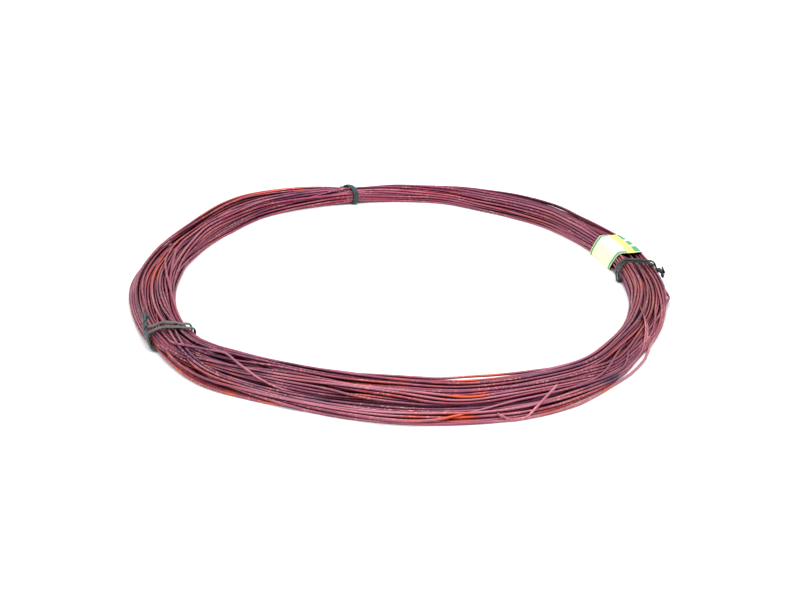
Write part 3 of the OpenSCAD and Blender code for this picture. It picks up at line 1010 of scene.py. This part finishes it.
# The strip starts under the outer side, at -75, and ends past it, over its own start. It
# rises to do so over 40 degrees, and has its slack in mm at the foot of the bore side.
OVERLAP_FROM = 225
OVERLAP_LIFT = 0.3
SLACK = 1.5
SLACK_AT = 207
SLACK_HALF = 22
around = np.arange(-75.0, 346.0, 3.0)
overlap = OVERLAP_LIFT * np.clip((around - OVERLAP_FROM) / 40, 0, 1)
slack = SLACK * np.exp(-(((around - SLACK_AT) / SLACK_HALF) ** 2))
rows = []
for k, along in enumerate(np.linspace(-0.5, 0.5, LABEL_ROWS)):
    creases = 0.12 * wander(len(around), 6, 40)
    ripples = 0.06 * wander(len(around), 4, 41 + k // 6)
    lift = LABEL_LIFT + overlap + slack + creases + ripples
    guess = band_outline(LABEL_MIDDLE, LABEL_LIFT, around)[0]
    angle = LABEL_MIDDLE - np.degrees(along * LABEL_WIDTH / guess)
    rows.append(band_points(angle, lift, around, PAPER / 2 + 0.05))
sheet = np.array(rows)
paper_at = distance_along(sheet[LABEL_ROWS // 2])
print("Label", LABEL_WIDTH, "mm wide, strip", round(float(paper_at[-1]), 1), "mm long")


def add_sheet(name, middle, thickness, material):
    """A thin closed sheet on a grid of points. Its outer side takes the left half of the UV map."""
    outward = np.cross(np.gradient(middle, axis=1), np.gradient(middle, axis=0))
    outward *= thickness / 2 / np.linalg.norm(outward, axis=2)[:, :, None]
    corners = np.concatenate([(middle + outward).reshape(-1, 3), (middle - outward).reshape(-1, 3)])
    p = np.arange(middle.shape[0] * middle.shape[1]).reshape(middle.shape[:2])
    q = p + p.size
    outer = np.stack([p[:-1, :-1], p[:-1, 1:], p[1:, 1:], p[1:, :-1]], axis=2).reshape(-1, 4)
    inner = np.stack([q[:-1, :-1], q[1:, :-1], q[1:, 1:], q[:-1, 1:]], axis=2).reshape(-1, 4)
    rims = np.concatenate([
        np.stack([p[:-1, 0], p[1:, 0], q[1:, 0], q[:-1, 0]], axis=1),
        np.stack([p[1:, -1], p[:-1, -1], q[:-1, -1], q[1:, -1]], axis=1),
        np.stack([p[0, 1:], p[0, :-1], q[0, :-1], q[0, 1:]], axis=1),
        np.stack([p[-1, :-1], p[-1, 1:], q[-1, 1:], q[-1, :-1]], axis=1),
    ])
    faces = np.concatenate([outer, inner, rims])
    piece = add_mesh(name, (corners * MM).tolist(), faces.tolist(), material)
    u, v = np.meshgrid(*(np.linspace(0, 1, n) for n in middle.shape[:2]), indexing="ij")
    place = np.stack([0.01 + 0.48 * u, 0.01 + 0.98 * v], axis=2).reshape(-1, 2)
    place = np.concatenate([place, place + [0.5, 0]])
    laid_out = np.concatenate([place[outer], place[inner], place[rims % p.size]])
    layer = piece.data.uv_layers.new(name="OFBake")
    layer.uv.foreach_set("vector", laid_out.astype(np.float32).ravel())
    return piece


# %% [markdown]
# The paper is coated and half matt. Each print is a rectangle in millimetres: a compare
# node tells if a place is inside it along the coil, another one if it is inside round
# the bundle, and their product mixes in the ink. The back of the sheet stays plain.

# %% Printed paper
GREEN = "#3f9a57"
paper, tree, skin = new_material("printed_coated_paper")
place = add_node("ShaderNodeAttribute", {"attribute_name": "print_place"})["Vector"]
place = add_node("ShaderNodeSeparateXYZ", Vector=place)
# Colour, then from and to along the coil in mm, and from and to in the direction round
# the bundle
PRINTS = [
    ("#f2d96e", 0, LABEL_WIDTH, 48, 100),
    (GREEN, 1, 9, 24, 47),
    (GREEN, 11.5, 17.5, 24, 47),
    (GREEN, 20, 28, 24, 47),
    ("#e8e6bb", 0, LABEL_WIDTH, 160, 222),
    (GREEN, 0.5, 2.2, 100, 222),
    (GREEN, LABEL_WIDTH - 3, LABEL_WIDTH - 0.5, 100, 222),
]
colour = linear("#e2e1da")
for ink, start, end, low, high in PRINTS:
    low, high = (float(np.interp(at, around, paper_at)) for at in (low, high))
    inside = []
    for axis, a, b in (("X", start, end), ("Y", low, high)):
        half = {"_1": (a + b) / 2, "_2": (b - a) / 2}
        inside.append(add_node("ShaderNodeMath", {"operation": "COMPARE"}, _0=place[axis], **half)[0])
    inside = add_node("ShaderNodeMath", {"operation": "MULTIPLY"}, _0=inside[0], _1=inside[1])[0]
    ink = linear(ink)
    colour = add_node("ShaderNodeMix", {"data_type": "RGBA"}, Factor=inside, _6=colour, _7=ink)[2]
back = linear("#e4e2d8")
colour = add_node("ShaderNodeMix", {"data_type": "RGBA"}, Factor=place["Z"], _6=back, _7=colour)[2]
tree.links.new(colour, skin["Base Color"])
skin["Roughness"].default_value = 0.5
# Distance in mm between the paper's fibres, which show a little under the coating. Real
# ones lie closer, and are drawn as coarse as they need to show.
FIBRE = 0.3
place = add_node("ShaderNodeTexCoord")["Object"]
fibres = add_node("ShaderNodeTexNoise", Vector=place, Scale=1 / (FIBRE * MM), Detail=3.0)["Fac"]
fibrous = add_node("ShaderNodeBump", Height=fibres, Strength=0.2, Distance=0.03 * MM)[0]
tree.links.new(fibrous, skin["Normal"])
print("Paper has", len(PRINTS), "printed rectangles, in", len(tree.nodes), "nodes")

# %% The label
# Place along the coil and round the bundle in mm, and 1 on the printed side
label = add_sheet("label_sleeve", sheet, PAPER, paper)
count = sheet.shape[0] * sheet.shape[1]
print_place = np.zeros((2 * count, 3), np.float32)
print_place[:, 0] = np.tile(np.repeat(np.linspace(0, LABEL_WIDTH, len(sheet)), len(around)), 2)
print_place[:, 1] = np.tile(paper_at, 2 * len(sheet))
print_place[:count, 2] = 1
add_values(label, "print_place", "FLOAT_VECTOR", print_place)
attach(label, "root")
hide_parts("label_band")
print(label.name, len(label.data.polygons), "faces")

# %% [markdown]
# ## Floor and light
# A plain floor under one large, soft light from above and a little behind, with
# white all round, as in a light tent.

# %% Studio
# The floor's corners are in metres, and the light of the tent is a bit over full white
floor_material, tree, floor_skin = new_material("matt_white_floor")
floor_skin["Base Color"].default_value = linear("#f2f2f2")
floor_skin["Roughness"].default_value = 0.9
corners = [(-3, -3, 0), (3, -3, 0), (3, 5, 0), (-3, 5, 0)]
floor = add_mesh("floor", corners, [(0, 1, 2, 3)], floor_material)

world = bpy.data.worlds.new("studio")
bpy.context.scene.world = world
world.use_nodes = True
surround = world.node_tree.nodes["Background"].inputs
surround["Color"].default_value = linear("#ffffff")
surround["Strength"].default_value = 1.35


def add_softbox(name, place, size, watts):
    """A soft light of this size in metres, which faces the middle of the coil."""
    light = bpy.data.lights.new(name, "AREA")
    light.shape = "RECTANGLE"
    light.size, light.size_y = size
    light.energy = watts
    holder = bpy.data.objects.new(name, light)
    holder.location = place
    holder.rotation_euler = (-Vector(place)).to_track_quat("-Z", "Y").to_euler()
    bpy.context.scene.collection.objects.link(holder)
    print(name, watts, "W")


add_softbox("overhead_softbox", (0.1, 0.2, 1.2), (0.8, 0.8), 7)
